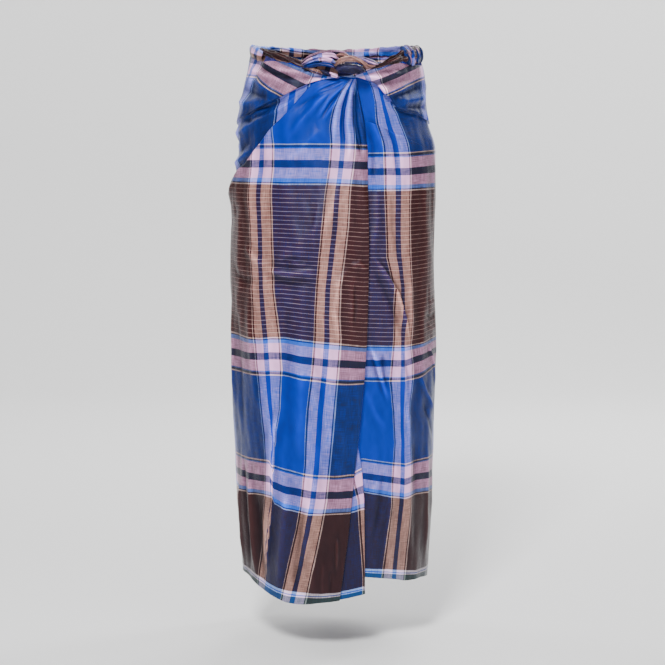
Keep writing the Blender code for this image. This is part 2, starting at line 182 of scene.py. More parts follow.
# ---- where a point of cloth is
def section(z):
    """How far the figure reaches to the left, right, front and back at this height."""
    return [curved(FIGURE, z, k) for k in (1, 2, 3, 4)]


def place(deg, z, out):
    """Points this far outside the figure, as an array of rows."""
    left, right, front, back = section(z)
    sine = np.sin(np.radians(deg))
    cosine = np.cos(np.radians(deg))
    wide = (left + right) / 2
    deep = np.where(cosine >= 0, front, back)
    nx = sine / wide
    ny = -cosine / deep
    length = np.hypot(nx, ny)
    x = (right - left) / 2 + wide * sine + nx / length * out
    y = -deep * cosine + ny / length * out
    return np.stack((x, y, z + 0 * x), axis=-1)


def degrees_of(x, z):
    """The angle of a point of the front that is this far right of the middle."""
    left, right, _, _ = section(z)
    return np.degrees(np.arcsin((x - (right - left) / 2) / ((left + right) / 2 + STAND_OFF)))


# The girth at the middle of the skirt, as half its width and its depths in front and behind, in mm.
HALF_WIDTH, FRONT_DEPTH, BACK_DEPTH = 176, 127, 134
ARC_DEG = np.arange(-20, 400, 1.0)
COSINE = np.cos(np.radians(ARC_DEG))
SINE = np.sin(np.radians(ARC_DEG))
ARC_STEP = np.hypot(HALF_WIDTH * COSINE, np.where(COSINE > 0, FRONT_DEPTH, BACK_DEPTH) * SINE)
ARC = np.cumsum(ARC_STEP) * math.radians(1)


def arc(deg):
    """The way round the tube up to this angle, in mm."""
    return np.interp(deg, ARC_DEG, ARC)


# ---- folds
# Each fold is a line of points (degrees, mm below the origin), then its height in mm, negative for a
# trough, and its half width in mm, or the widths of its left and right flanks.
FOLDS_SKIRT = (
    # the cloth drawn over the front leg, and the crease across the knee
    ((370, 229), (354, 290), (341, 330), (324, 368), 4.4, 24), ((321, 371), (334, 378), (352, 372), 3.6, 5),
    ((322, 382), (336, 393), (354, 388), -1.5, 10), ((336, 354), (342, 364), (347, 358), 1.4, 3),
    ((330, 358), (336, 351), (342, 353), -1.2, 3), ((352, 250), (349, 310), (349, 352), 1, 2.4),
    ((300, 330), (310, 352), (322, 366), 2, 8), ((284, 372), (300, 392), (318, 388), -1.8, 9),
    # a long slack pleat right of the middle
    ((370.4, 364), (369.4, 420), (368.2, 500), 2, 5.4),
    ((368.8, 362), (361.8, 392), (359.6, 440), (363, 510), 2, 5),
    ((368, 366), (373, 361), (378, 372), 2.2, 4), ((370.4, 382), (370.6, 430), (369, 480), -1.8, 3),
    # the tuck low on the left
    ((328.5, 600), (324.5, 660), (321, 760), 3.6, (12, 1.75)),
    ((321, 760), (318.5, 810), (314, 885), 2.8, (14.4, 2.1)),
    # soft upright folds toward the hem on the left
    ((286, 720), (285, 800), (287, 896), 4.4, 6), ((293, 680), (294, 790), (297, 902), -4, 6),
    ((301, 700), (302, 800), (304, 908), 4.6, 6.5), ((308, 740), (310, 830), (312, 914), -3.2, 6.5),
    ((332, 720), (327, 830), (322, 922), 4, 9), ((341, 750), (336, 850), (332, 927), -3.4, 8),
    ((349, 700), (343, 790), (339, 870), 2.4, 8), ((278, 420), (280, 520), (284, 640), 3.2, 10),
    ((290, 440), (294, 560), (296, 660), -2.8, 10), ((306, 430), (308, 520), (312, 620), 2.6, 11),
    ((343, 520), (341, 600), (338, 690), 2.6, 11), ((352, 500), (352, 590), (350, 700), -2.4, 10),
    ((334, 420), (333, 500), (334, 580), -2.2, 12), ((359.6, 810), (359.4, 845), (359, 872), 3, 2.2),
    ((352, 850), (351.4, 880), (351, 915), 1.2, 2.6), ((356, 862), (355.6, 890), (355.4, 915), -1.2, 2.6),
    ((363, 840), (362.6, 880), (362, 912), 1.2, 2.4), ((347, 830), (345.5, 880), (344.5, 920), 1.4, 5),
    # folds at the folded front edge, low down
    ((365, 610), (362, 700), (360, 780), 1.6, 9), ((356, 640), (350, 720), (345, 800), -1.4, 10),
    # the right front: a fold that slants down from the thigh
    ((21, 345), (29, 375), (38, 412), (44, 458), (48, 505), 4.6, (8.64, 1.26)),
    ((20, 362), (28, 400), (37, 450), (42, 500), -2.6, 8), ((24, 230), (24, 290), (20, 350), 2.4, 6),
    ((34, 240), (35, 300), (39, 370), -2, 7), ((46, 380), (48, 440), (50, 510), 1.8, 6),
    ((19, 492), (24, 540), (31, 596), 4, (1.75, 12)), ((27, 505), (28, 545), (31, 580), -2.4, 5),
    ((16, 560), (22, 610), (30, 640), 1.6, 8), ((41, 505), (46, 560), (45, 625), -2, 6),
    ((48, 545), (44, 610), (47, 680), 2.2, 7), ((66, 425), (74, 433), (84, 424), 1.4, 3),
    ((62, 448), (72, 456), (84, 450), -1.4, 3.4), ((66, 468), (75, 476), (86, 470), 1.5, 3.2),
    ((68, 488), (76, 497), (86, 494), -1.2, 3), ((66, 500), (76, 530), (86, 585), 2.6, 4),
    ((56, 552), (64, 582), (78, 625), 2.6, 4.5), ((60, 590), (68, 630), (80, 668), -2, 6),
    ((27, 700), (25, 760), (21, 830), -2, 5), ((33, 720), (31, 800), (28, 880), 2.2, 6),
    ((52, 640), (53, 760), (54, 890), -2.4, 9), ((66, 660), (68, 780), (70, 900), 3, 9),
    ((84, 620), (86, 760), (88, 905), -2.4, 10),
    # the fan of folds from the knot, on the front cloth
    ((367, 59), (356, 70), (347, 81), 2.6, 2.6), ((367, 63), (356, 77), (347, 88), 2.2, 2.2),
    ((366, 61), (355, 73), (348, 84), -1.4, 1.6), ((367.5, 64), (357, 95), (350, 128), 3.2, 3),
    ((368, 68), (360, 101), (353, 132), 2.6, 2.4), ((367.8, 66), (358.5, 98), (352, 128), -2, 1.8),
    ((366, 62), (351, 97), (330, 168), 2.6, 7), ((366, 62), (346, 92), (334, 116), -1.8, 5),
    ((352, 140), (340, 176), (330, 200), 1.6, 7), ((368.5, 66), (362, 104), (357.5, 180), 3.4, 3.6),
    ((369.3, 66), (366, 104), (363, 176), -3.6, 3), ((370, 66), (368.5, 106), (366, 205), 4, 3.6),
    ((371.2, 66), (372.2, 102), (373, 200), -7, 4.2), ((372.4, 66), (375, 98), (377.6, 150), 3, 2),
    ((364, 200), (359, 260), (352, 330), 2, 8), ((371, 190), (371, 260), (370, 330), -1.6, 7),
    # and on the cloth right of it
    ((14, 68), (21, 102), (29, 200), 4, 7), ((14, 72), (20, 90), (28, 108), -3.6, (6.72, 0.98)),
    ((28, 108), (35, 118), (45, 127), -3, (7.2, 1.05)), ((15, 66), (24, 74), (34, 90), 2.4, 2.6),
    ((17, 84), (27, 100), (36, 112), 2.4, 3), ((19, 130), (21, 170), (22, 240), -2.8, 5),
    ((31, 120), (35, 160), (38, 230), -2.2, 6), ((31, 140), (38, 151), (46, 153), 1.6, 2.6),
    ((32, 94), (40, 108), (56, 119), -3.2, 3.4), ((33, 100), (43, 120), (60, 132), 2.6, 4),
    ((48, 122), (60, 130), (80, 134), 2.2, 5), ((46, 132), (60, 148), (82, 160), -2.4, 6),
    # the bulge of the hip fold at the left
    ((262, 262), (275, 246), (290, 222), 2.6, 9), ((268, 300), (282, 290), (298, 262), -1.8, 12),
    ((282, 214), (296, 205), (312, 178), 1.6, 6),
    # drag lines under the waist and long soft folds at the back
    ((150, 60), (140, 130), (128, 230), 2.4, 9), ((168, 50), (160, 150), (150, 300), -2.6, 11),
    ((186, 50), (184, 170), (176, 360), 3, 12), ((204, 50), (212, 160), (222, 320), -2.6, 11),
    ((222, 60), (234, 140), (246, 240), 2.4, 9), ((120, 180), (116, 300), (112, 460), 2.4, 12),
    ((136, 330), (130, 600), (126, 905), 4.4, 17), ((152, 420), (148, 660), (144, 905), -3.6, 14),
    ((168, 300), (163, 620), (159, 910), 4.2, 16), ((184, 460), (181, 700), (178, 915), -4, 15),
    ((200, 340), (199, 640), (200, 910), 4.6, 17), ((216, 480), (217, 700), (219, 905), -3.4, 13),
    ((232, 330), (232, 620), (235, 900), 4, 16), ((250, 520), (250, 720), (252, 895), -2.8, 12),
    ((266, 560), (266, 740), (268, 895), 3, 11), ((104, 520), (103, 720), (102, 905), 3.4, 13),
    ((172, 372), (186, 384), (204, 374), 1.6, 6), ((156, 392), (170, 402), (182, 396), -1.4, 6),
)
FOLDS_HIP = (
    ((268, 140), (286, 150), (312, 118), 3.8, 8), ((262, 176), (284, 180), (306, 150), -3.2, 8),
    ((270, 200), (288, 190), (305, 172), 2.9, 6), ((300, 108), (318, 104), (334, 88), -2.2, 4),
    ((318, 120), (328, 104), (337, 90), 1.9, 5), ((262, 150), (276, 164), (296, 140), -3.4, 5),
    ((266, 226), (282, 208), (300, 184), -2.6, 5), ((286, 128), (302, 126), (324, 102), -2.6, 4),
    ((215, 170), (240, 190), (264, 205), 3.2, 9),
)
FOLDS_BAND = (
    # left: folds that run down into the knot
    ((286, 56), (303, 62), (326, 84), 2.9, 4.5), ((280, 70), (300, 82), (322, 92), -2.6, 4),
    ((270, 92), (292, 96), (312, 94), 3.2, 6), ((286, 38), (306, 48), (336, 66), 2.6, 4),
    ((300, 38), (318, 52), (342, 60), -2.9, 3.4), ((312, 36), (328, 46), (350, 52), 2.9, 3.4),
    ((336, 60), (346, 58), (360, 50), -2.2, 3),
    # right: folds that rise from the knot
    ((14, 56), (26, 58), (48, 46), 2.9, 3.6), ((16, 62), (30, 68), (56, 56), -2.2, 3.6),
    ((24, 70), (36, 82), (60, 66), 2.6, 5), ((34, 88), (46, 84), (74, 66), -2.9, 4.4),
    ((38, 96), (52, 94), (84, 84), 3.2, 6), ((46, 106), (60, 104), (88, 104), -2.6, 5),
    ((20, 48), (34, 48), (52, 40), -2.2, 2.8),
    # round the sides and back
    ((88, 60), (110, 80), (134, 110), 3.2, 8), ((92, 34), (120, 50), (150, 80), -2.6, 7),
    ((226, 110), (246, 84), (268, 62), 3.2, 8), ((214, 70), (238, 50), (262, 38), -2.6, 7),
    ((150, 24), (153, 50), (158, 90), 2.6, 6), ((172, 22), (174, 60), (176, 110), -2.6, 7),
    ((196, 24), (194, 60), (190, 120), 2.9, 7),
)
MM_PER_DEG = 2.9  # round the front of the tube
FOLD_GAIN = 1.45  # the folds stand this much higher than their rows say


def fold_height(folds, deg, z):
    """How far the folds lift the cloth, in metres, at these angles and heights."""
    total = np.zeros(deg.shape)
    for *line, height, width in folds:
        nearest = np.full(deg.shape, np.inf)
        rightward = np.zeros(deg.shape)
        way = np.zeros(deg.shape)
        done = 0.0
        for (deg_a, down_a), (deg_b, down_b) in zip(line, line[1:]):
            length = math.hypot((deg_b - deg_a) * MM_PER_DEG, down_b - down_a)
            ahead_x = (deg_b - deg_a) * MM_PER_DEG / length
            ahead_down = (down_b - down_a) / length
            x = (deg - deg_a) * MM_PER_DEG
            down = -z * 1000 - down_a
            along = np.clip(x * ahead_x + down * ahead_down, 0, length)
            off_x = x - along * ahead_x
            off = np.hypot(off_x, down - along * ahead_down)
            near = off < nearest
            nearest = np.where(near, off, nearest)
            rightward = np.where(near, off_x, rightward)
            way = np.where(near, done + along, way)
            done += length
        taper = smooth(way / done / 0.25) * smooth((1 - way / done) / 0.35)
        left, right = width if isinstance(width, tuple) else (width, width)
        reach = np.where(rightward > 0, right, left)
        total += height * MM * FOLD_GAIN * taper * np.exp(-((nearest / reach) ** 2 + 0.03) ** 0.75)
    return total


def grain(deg, z, seed, across, along, depth):
    """Uneven soft relief: cells this wide across and this tall, in mm."""
    places = zip(deg.ravel(), z.ravel())
    values = [noise.noise((d * MM_PER_DEG / across, h * 1000 / along, seed)) for d, h in places]
    return np.array(values).reshape(deg.shape) * depth * MM


# ---- the pattern's coordinates, in mm
def through(marks, places, at):
    """For rows of places of the marks, the mark at each place, on straight lines past both ends."""
    k = np.clip((at[..., None] > places).sum(-1) - 1, 0, len(marks) - 2)
    low = np.take_along_axis(places, k[..., None], -1)[..., 0]
    high = np.take_along_axis(places, k[..., None] + 1, -1)[..., 0]
    return marks[k] + (marks[k + 1] - marks[k]) * (at - low) / np.maximum(high - low, 1e-6)


def weft_of(deg, z):
    """The distance from the hem up the cloth."""
    zmm = z * 1000
    places = np.stack([-straight(WEFT_DEPTHS, deg, k + 1) for k in range(len(WEFT_MARKS))], -1)
    hem = places[..., 0]
    top = places[..., -1]
    t = through(WEFT_MARKS, places, zmm)
    t = np.where(zmm > top, GATHERS_FROM + (zmm - top) * 0.98, t)
    return np.where(zmm < hem, zmm - hem, t)


def warp_of(deg, z):
    """The distance along the cloth, round the tube."""
    zmm = z * 1000
    at = arc(deg)
    left = np.stack([straight(WARP_LEFT, zmm, k + 1) + 360 for k in range(len(WARP_LEFT_MARKS))], -1)
    right = np.stack([straight(WARP_RIGHT, zmm, k + 1) for k in range(len(WARP_RIGHT_MARKS))], -1)
    # Outside the marks the pattern has its flat size.
    before_left = -FINE - arc(left[..., 0])
    before_right = PLAIN - arc(right[..., 0])
    after_right = PLAIN + FINE - arc(right[..., 1])
    over = through(WARP_LEFT_MARKS, left, deg)
    over = np.where(deg > left[..., -1], PLAIN + FINE + (deg - left[..., -1]) * 3.05, over)
    over = np.where(deg < left[..., 0], before_left + at, over) + ROUND
    under = through(WARP_RIGHT_MARKS, right, deg)
    under = np.where(deg < right[..., 0], before_right + at, under)
    under = np.where(deg > right[..., 1], after_right + at, under)
    first = after_right + arc(RIGHT_END)
    last = before_left + arc(LEFT_START) + ROUND
    share = (at - arc(RIGHT_END)) / (arc(LEFT_START) - arc(RIGHT_END))
    back = first + (last - first) * share
    return np.where(deg < RIGHT_END, under, np.where(deg > LEFT_START, over, back))


def blended(deg, z, s, t, share):
    """These two distances, fading into the skirt's where the share is low."""
    return warp_of(deg, z) * (1 - share) + s * share, weft_of(deg, z) * (1 - share) + t * share


def hip_of(deg, z):
    """Both distances on the cloth under the hip fold."""
    s = -FINE + (deg - 323) * 2.4 + ROUND
    t = 905 + (z - curved(CREASE, deg)) * 900
    return blended(deg, z, s, t, smooth((deg - 243) / 30))


def band_of(deg, z):
    """Both distances in the gathered waist, where the cloth runs down into the knot."""
    zmm = z * 1000
    places = np.stack([straight(BAND_HEIGHTS, deg, k + 1) for k in range(len(BAND_MARKS))], -1)
    t = through(BAND_MARKS, places, zmm)
    # Right of the knot a brown band fans out from this edge to the side.
    edge = 27 + (-55 - zmm) * 0.2
    right = PLAIN + FINE + (deg - edge) * np.where(deg < edge, 3.0, PLAIN / (68 - edge))
    # Left of it another closes in between these two edges.
    at_left = 311 + (zmm + 10) * 0.22
    at_knot = 346 + (zmm + 46) * 0.125
    left = -PLAIN - FINE + PLAIN * (deg - at_left) / (at_knot - at_left)
    left = np.where(deg > at_knot, -FINE + (deg - at_knot) * 3.0, left) + ROUND
    # Round the back, the gathered waist and the skirt below it share one pattern at the crease.
    above = smooth((z - curved(CREASE, deg)) / 0.060)
    from_left = smooth((deg - 205) / 75) * (above + (1 - above) * smooth((deg - 246) / 24))
    share = np.where(deg < 180, smooth((122 - deg) / 40), from_left)
    return blended(deg, z, np.where(deg < 180, right, left), t, share)


# ---- materials
BLUE = (0.020, 0.230, 0.630)
BROWN = (0.228, 0.148, 0.140)
PINK = (0.905, 0.705, 0.880)
RUST = (0.280, 0.150, 0.155)
NAVY = (0.115, 0.170, 0.315)
SKY = (0.410, 0.560, 0.900)
MID_BLUE = (0.220, 0.400, 0.780)
TAN = (0.860, 0.770, 0.740)
BEIGE = (0.850, 0.690, 0.635)  # what the pink warp looks like over the brown weft
INDIGO = (0.105, 0.205, 0.520)  # and the blue warp
GREEN = (0.190, 0.340, 0.345)
PALE = (0.930, 0.930, 0.980)

FINE_STRIPES = ((0.0, TAN), (1.5, BROWN), (4.0, PINK), (19.5, BLUE), (30.0, PINK), (47.5, BROWN), (49.5, TAN))


def from_mark(mark, stripes):
    """The stripes, moved along to start at a mark."""
    return tuple((mark + at, colour) for at, colour in stripes)


WARP_STRIPES = (((0, BLUE),) + from_mark(PLAIN, FINE_STRIPES) + ((PLAIN + FINE - 1, BROWN),)
                + from_mark(REPEAT - FINE, FINE_STRIPES) + ((REPEAT - 1, BLUE),))
OVER_BROWN = {PINK: BEIGE, BLUE: INDIGO}
WARP_OVER_BROWN = tuple((at, OVER_BROWN.get(colour, colour)) for at, colour in WARP_STRIPES)
GUARD = (
    (0, TAN), (2, NAVY), (5.5, SKY), (11, PINK), (30, NAVY), (43.5, PINK), (64.5, MID_BLUE), (67, NAVY),
    (71, TAN))
GUARD_WIDTH = 73
MIRRORED_STARTS = (0,) + tuple(GUARD_WIDTH - at for at, colour in GUARD[:0:-1])
MIRRORED_GUARD = tuple(zip(MIRRORED_STARTS, (colour for at, colour in GUARD[::-1])))
LINED_FROM = 449  # from here to the middle of the loom width, thin lines cross the ground
HALF_WEFT = (
    ((0, GREEN), (10, PALE), (13, MID_BLUE), (14, PALE), (17, SKY), (18, PALE), (19, BROWN))
    + from_mark(157, GUARD) + ((157 + GUARD_WIDTH, BLUE),)
    + from_mark(LINED_FROM - GUARD_WIDTH, MIRRORED_GUARD) + ((LINED_FROM, RUST),))
LINE_PITCH = (LOOM_WIDTH / 2 - LINED_FROM) / 17.5
LINE_WIDTH = 0.85
THREAD_PITCH = 0.8
WANDER = 1.2  # how far a thread strays


class Nodes:
    """Short calls for building a shader's node tree."""

    def __init__(self, material):
        material.use_nodes = True
        self.tree = material.node_tree
        self.shader = self.tree.nodes["Principled BSDF"]

    def add(self, kind, **settings):
        node = self.tree.nodes.new("ShaderNode" + kind)
        for name, value in settings.items():
            setattr(node, name, value)
        return node

    def link(self, source, target):
        self.tree.links.new(source, target)

    def feed(self, value, socket):
        """A number, a colour or another node's output goes into the socket."""
        if isinstance(value, (int, float)):
            socket.default_value = value
        elif isinstance(value, tuple):
            socket.default_value = (*value, 1)
        else:
            self.link(value, socket)

    def math(self, operation, *values):
        node = self.add("Math", operation=operation)
        for socket, value in zip(node.inputs, values):
            self.feed(value, socket)
        return node.outputs[0]

    def plus(self, first, second):
        return self.math("ADD", first, second)

    def minus(self, first, second):
        return self.math("SUBTRACT", first, second)

    def times(self, first, second):
        return self.math("MULTIPLY", first, second)

    def mix(self, share, first, second):
        node = self.add("Mix", data_type="RGBA")
        # A mix node of colours has its share first and its two colours seventh and eighth.
        for k, value in ((0, share), (6, first), (7, second)):
            self.feed(value, node.inputs[k])
        return node.outputs[2]

    def channels(self, colour):
        split = self.add("SeparateColor")
        self.link(colour, split.inputs[0])
        return split

    def stripes(self, place, rows, total):
        """Sharp stripes from rows of a start and a colour, where place runs from 0 to 1 over the total."""
        ramp = self.add("ValToRGB")
        ramp.color_ramp.interpolation = "CONSTANT"
        stops = ramp.color_ramp.elements
        stops.remove(stops[1])
        stops[0].position = 0
        stops[0].color = (*rows[0][1], 1)
        for at, colour in rows[1:]:
            stops.new(at / total).color = (*colour, 1)
        self.link(place, ramp.inputs[0])
        return ramp.outputs[0]

    def noise(self, vector, detail):
        node = self.add("TexNoise")
        node.inputs["Scale"].default_value = 1.0
        node.inputs["Detail"].default_value = detail
        self.link(vector, node.inputs["Vector"])
        return node.outputs["Fac"]

    def stretched(self, s, t, along_s, along_t):
        node = self.add("CombineXYZ")
        self.link(self.times(s, along_s), node.inputs[0])
        self.link(self.times(t, along_t), node.inputs[1])
        return node.outputs[0]


def checked_cloth(name):
    """Plain weave: the colour of each place is half warp and half weft, thread by thread."""
    material = bpy.data.materials.new(name)
    n = Nodes(material)
    uv = n.add("UVMap", uv_map="Cloth")
    split = n.add("SeparateXYZ")
    n.link(uv.outputs[0], split.inputs[0])
    s_mm = n.times(split.outputs[0], 1000.0)
    t_mm = n.times(split.outputs[1], 1000.0)

    def streaks(along_s, along_t, detail=2.0):
        """Noise drawn out along the warp or the weft: the smaller number's direction."""
        return n.noise(n.stretched(s_mm, t_mm, along_s, along_t), detail)

    # Threads wander a little, so the stripes have soft hand-woven edges.
    s = n.plus(s_mm, n.times(n.minus(streaks(0.30, 0.02), 0.5), WANDER))
    t = n.plus(t_mm, n.times(n.minus(streaks(0.02, 0.30), 0.5), WANDER))
    along = n.math("FRACT", n.math("DIVIDE", s, float(REPEAT)))
    warp = n.stripes(along, WARP_STRIPES, REPEAT)
    mirrored = n.math("PINGPONG", t, LOOM_WIDTH / 2)
    weft = n.stripes(n.math("DIVIDE", mirrored, LOOM_WIDTH / 2), HALF_WEFT, LOOM_WIDTH / 2)
    in_lines = n.math("GREATER_THAN", mirrored, LINED_FROM + LINE_PITCH * 0.6)
    past_line = n.math("MODULO", n.minus(mirrored, LINED_FROM), LINE_PITCH)
    on_line = n.math("LESS_THAN", past_line, LINE_WIDTH)
    # Where the weft is brown, the pale warp stripes turn beige and the rest takes more of the weft.
    on_brown = n.math("LESS_THAN", n.channels(weft).outputs[2], 0.22)
    warp = n.mix(on_brown, warp, n.stripes(along, WARP_OVER_BROWN, REPEAT))
    pale = n.channels(warp).outputs[0]
    weft = n.mix(n.times(n.times(in_lines, on_line), 0.72), weft, TAN)
    # Single threads show as fine streaks, a little lighter or darker, along the warp and along the weft.
    warp_streak = streaks(0.9, 0.05, 1.0)
    weft_streak = streaks(0.05, 0.9, 1.0)
    more_weft = n.minus(0.15, n.times(pale, 0.30))
    weft_share = n.plus(0.54, n.times(on_brown, more_weft))
    share = n.plus(weft_share, n.times(n.minus(weft_streak, warp_streak), 0.55))
    colour = n.mix(share, warp, weft)
    # Painted shade and highlight: the hollows of folds are painted darker and their crests paler, by the
    # relief stored on the mesh.
    painted_fold_shading = n.add("Attribute", attribute_name="painted_fold_shading")
    tone = n.plus(0.93, n.times(streaks(0.012, 0.012, 4.0), 0.14))
    tone = n.plus(tone, n.times(painted_fold_shading.outputs["Fac"], 0.26))
    bright = n.add("HueSaturation")
    n.link(tone, bright.inputs["Value"])
    n.link(colour, bright.inputs["Color"])
    gamma = n.add("Gamma")
    gamma.inputs["Gamma"].default_value = 2.6
    n.link(bright.outputs[0], gamma.inputs["Color"])
    n.link(gamma.outputs[0], n.shader.inputs["Base Color"])
    rough = n.plus(0.25, n.times(streaks(0.05, 0.05, 3.0), 0.16))
    n.link(rough, n.shader.inputs["Roughness"])
    n.shader.inputs["Specular IOR Level"].default_value = 0.40
    n.shader.inputs["Specular Tint"].default_value = (0.34, 0.38, 0.52, 1)
    n.shader.inputs["Sheen Weight"].default_value = 0.005
    n.shader.inputs["Sheen Roughness"].default_value = 0.4
    # The weave itself, and slubs, as bump.
    across_warp = n.math("SINE", n.times(s_mm, 2 * math.pi / THREAD_PITCH))
    across_weft = n.math("SINE", n.times(t_mm, 2 * math.pi / THREAD_PITCH))
    threads = n.times(across_warp, across_weft)
    relief = n.plus(n.times(threads, 0.25), n.plus(warp_streak, weft_streak))
    bump = n.add("Bump")
    bump.inputs["Strength"].default_value = 0.35
    bump.inputs["Distance"].default_value = 0.0004
    n.link(relief, bump.inputs["Height"])
    n.link(bump.outputs[0], n.shader.inputs["Normal"])
    return material


CLOTH = checked_cloth("checked_cotton")


# ---- meshes
def add_object(name, data):
    """A new object of the scene."""
    obj = bpy.data.objects.new(name, data)
    bpy.context.scene.collection.objects.link(obj)
    return obj


def make_sheet(name, points, faces, corner_uv, painted_fold_shading):
    """A mesh of quads with a pattern coordinate, in metres of flat cloth, for each face's corners.

    The painted fold shading runs from -1 in a hollow, painted darker, to 1 on a ridge, painted paler.
    """
    mesh = bpy.data.meshes.new(name)
    mesh.from_pydata(points.reshape(-1, 3).tolist(), [], faces.tolist())
    layer = mesh.uv_layers.new(name="Cloth")
    layer.data.foreach_set("uv", corner_uv.reshape(-1).astype(np.float32))
    # Painted shade in hollows and painted highlight on ridges, stored for the shader.
    painted_shading_layer = mesh.attributes.new("painted_fold_shading", "FLOAT", "POINT")
    painted_shading_layer.data.foreach_set("value", painted_fold_shading.ravel().astype(np.float32))
    mesh.polygons.foreach_set("use_smooth", [True] * len(mesh.polygons))
    mesh.materials.append(CLOTH)
    mesh.update()
    return add_object(name, mesh)


def painted_shading_of_relief(lift, reach, full):
    """How far each point stands above its neighbours this many rows and columns away, from -1 to 1: painted
    shade in hollows and painted highlight on ridges.
    """
    around = np.zeros_like(lift)
    for k in range(1, reach + 1):
        padded = np.pad(lift, k, mode="edge")
        below_and_above = padded[2 * k:, k:-k] + padded[:-2 * k, k:-k]
        right_and_left = padded[k:-k, 2 * k:] + padded[k:-k, :-2 * k]
        around += (below_and_above + right_and_left) / 4
    return np.clip((lift - around / reach) / full, -1, 1)


def grid_faces(rows, columns):
    """Four corners for each face between rows of points."""
    i, j = np.meshgrid(np.arange(rows - 1), np.arange(columns - 1), indexing="ij")
    a = (i * columns + j).ravel()
    return np.stack((a, a + columns, a + columns + 1, a + 1), axis=1)


def declare(piece, nodes):
    """Hangs a sheet of cloth on the root body and hides the parts of the frame it stands for."""
    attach(piece, "root")
    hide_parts(*nodes)


# ---- the tube of cloth, from waist to hem
WAIST, HIP, SKIRT = range(3)
FRONT_FROM = 275  # degrees; from here to the folded edge the columns are close
FRONT_TO = 372  # about where the folded edge is
FRONT_RADIUS = 160 * MM
TURN_RADIUS = 1.6 * MM  # of the folded front edge
TURNED_BACK = 12.8  # degrees of cloth that lie under the folded edge
CURL_DEPTH = 8.5 * MM  # of the front edge below the knot
CURL_WIDTH = 17  # mm
INNER_TOP = -85 * MM  # of the pleat inside the front edge
INNER_STRIPE = np.array((  # height in mm, then the angle where its fine stripes start
    (-891, 14.4), (-857, 13.4), (-806, 11.6), (-759, 10.8), (-724, 8), (-600, 0)))


def hip_edge(deg):
    """The folded upper edge of the front cloth, always just below the crease."""
    return np.minimum(curved(HIP_FOLD, deg), curved(CREASE, deg) - 1.5 * MM)


def between(upper, lower, share):
    """The line this share of the way down from one edge to another."""
    return lambda deg: upper(deg) + (lower(deg) - upper(deg)) * share


def line_of(table):
    """The table's line as a function of degrees."""
    return lambda deg: curved(table, deg)


